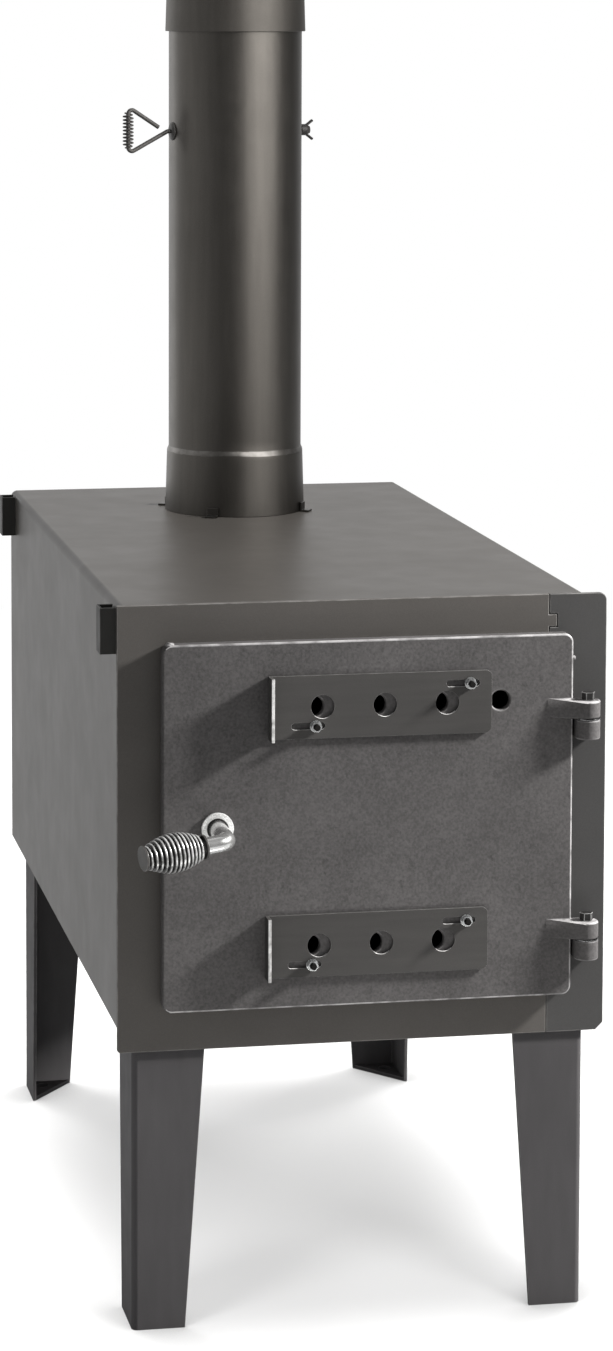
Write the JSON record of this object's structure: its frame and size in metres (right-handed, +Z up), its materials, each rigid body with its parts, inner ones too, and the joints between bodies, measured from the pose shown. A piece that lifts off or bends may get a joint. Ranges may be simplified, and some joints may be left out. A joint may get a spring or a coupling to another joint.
{
  "type": "outdoor wood stove",
  "caption": "Free-standing wood stove: folded steel firebox on angle legs, hinged cast door with sliding air vents and coil-grip latch, and a flue pipe with a turning damper.",
  "frame": {"origin": "on the ground, under the middle of the overall box", "axes": "+Z up along the flue, -Y towards the door and the user, +X to the hinge side"},
  "size_m": [0.334, 0.6326, 1.243],
  "materials": {
    "body_paint": "matte heat-proof paint, warm dark grey",
    "front_paint": "matte heat-proof paint, dark grey",
    "leg_paint": "matte heat-proof paint, near black",
    "pipe_paint": "satin heat-proof paint, dark grey",
    "cast_iron": "rough grey casting, worn bright at the edges",
    "dark_steel": "blackened steel wire and hardware",
    "zinc": "bright zinc plate",
    "bare_steel": "bare dark mill-scale steel"
  },
  "bodies": {
    "stove": {"body_wrap": "body_paint", "floor_sheet": "body_paint", "rear_panel": "body_paint", "front_plate": "front_paint", "hinge_strip": "front_paint", "lower_knuckle": "cast_iron", "upper_knuckle": "cast_iron", "hinge_pins": "dark_steel", "hinge_washers": "zinc", "flue_spigot": "pipe_paint", "pipe_tabs": "pipe_paint", "lower_flue_pipe": "pipe_paint", "upper_flue_pipe": "pipe_paint", "damper_bushes": "dark_steel", "front_left_leg": "leg_paint", "front_right_leg": "leg_paint", "rear_left_leg": "leg_paint", "rear_right_leg": "leg_paint", "foot_plates": "leg_paint", "leg_top_plates": "leg_paint", "leg_bolts": "zinc", "leg_nuts": "zinc", "left_front_sleeve": "body_paint", "left_rear_sleeve": "body_paint", "left_grate_ledge": "bare_steel", "right_grate_ledge": "bare_steel", "fire_grate": "bare_steel"},
    "door": {"door_plate": "cast_iron", "vent_bolts": "zinc", "vent_washers": "zinc", "vent_nuts": "zinc"},
    "latch": {"latch_rod": "zinc", "latch_washer": "zinc", "handle_stops": "dark_steel", "handle_coil": "dark_steel", "latch_spacer": "zinc", "latch_tongue": "bare_steel", "latch_nut": "zinc"},
    "upper_vent": {"upper_vent_slide": "front_paint"},
    "lower_vent": {"lower_vent_slide": "front_paint"},
    "damper": {"damper_shaft": "dark_steel", "damper_plate": "bare_steel", "damper_grip": "dark_steel", "damper_wing_nut": "dark_steel"}
  },
  "joints": [
    {"name": "door_swing", "type": "hinge", "parent": "stove", "child": "door", "pos_m": [0.1515, -0.25572, 0.3319], "axis": [0, 0, 1], "range_deg": [0, 180]},
    {"name": "latch_turn", "type": "hinge", "parent": "door", "child": "latch", "pos_m": [-0.0931, -0.24372, 0.3319], "axis": [0, -1, 0], "range_deg": [0, 86]},
    {"name": "upper_vent_travel", "type": "slide", "parent": "door", "child": "upper_vent", "axis": [1, 0, 0], "range_m": [-0.004, 0.0135]},
    {"name": "lower_vent_travel", "type": "slide", "parent": "door", "child": "lower_vent", "axis": [1, 0, 0], "range_m": [-0.004, 0.0135]},
    {"name": "damper_turn", "type": "hinge", "parent": "stove", "child": "damper", "pos_m": [-0.00125, 0.18927, 0.7624], "axis": [0.9848, 0.1736, 0], "continuous": true}
  ]
}
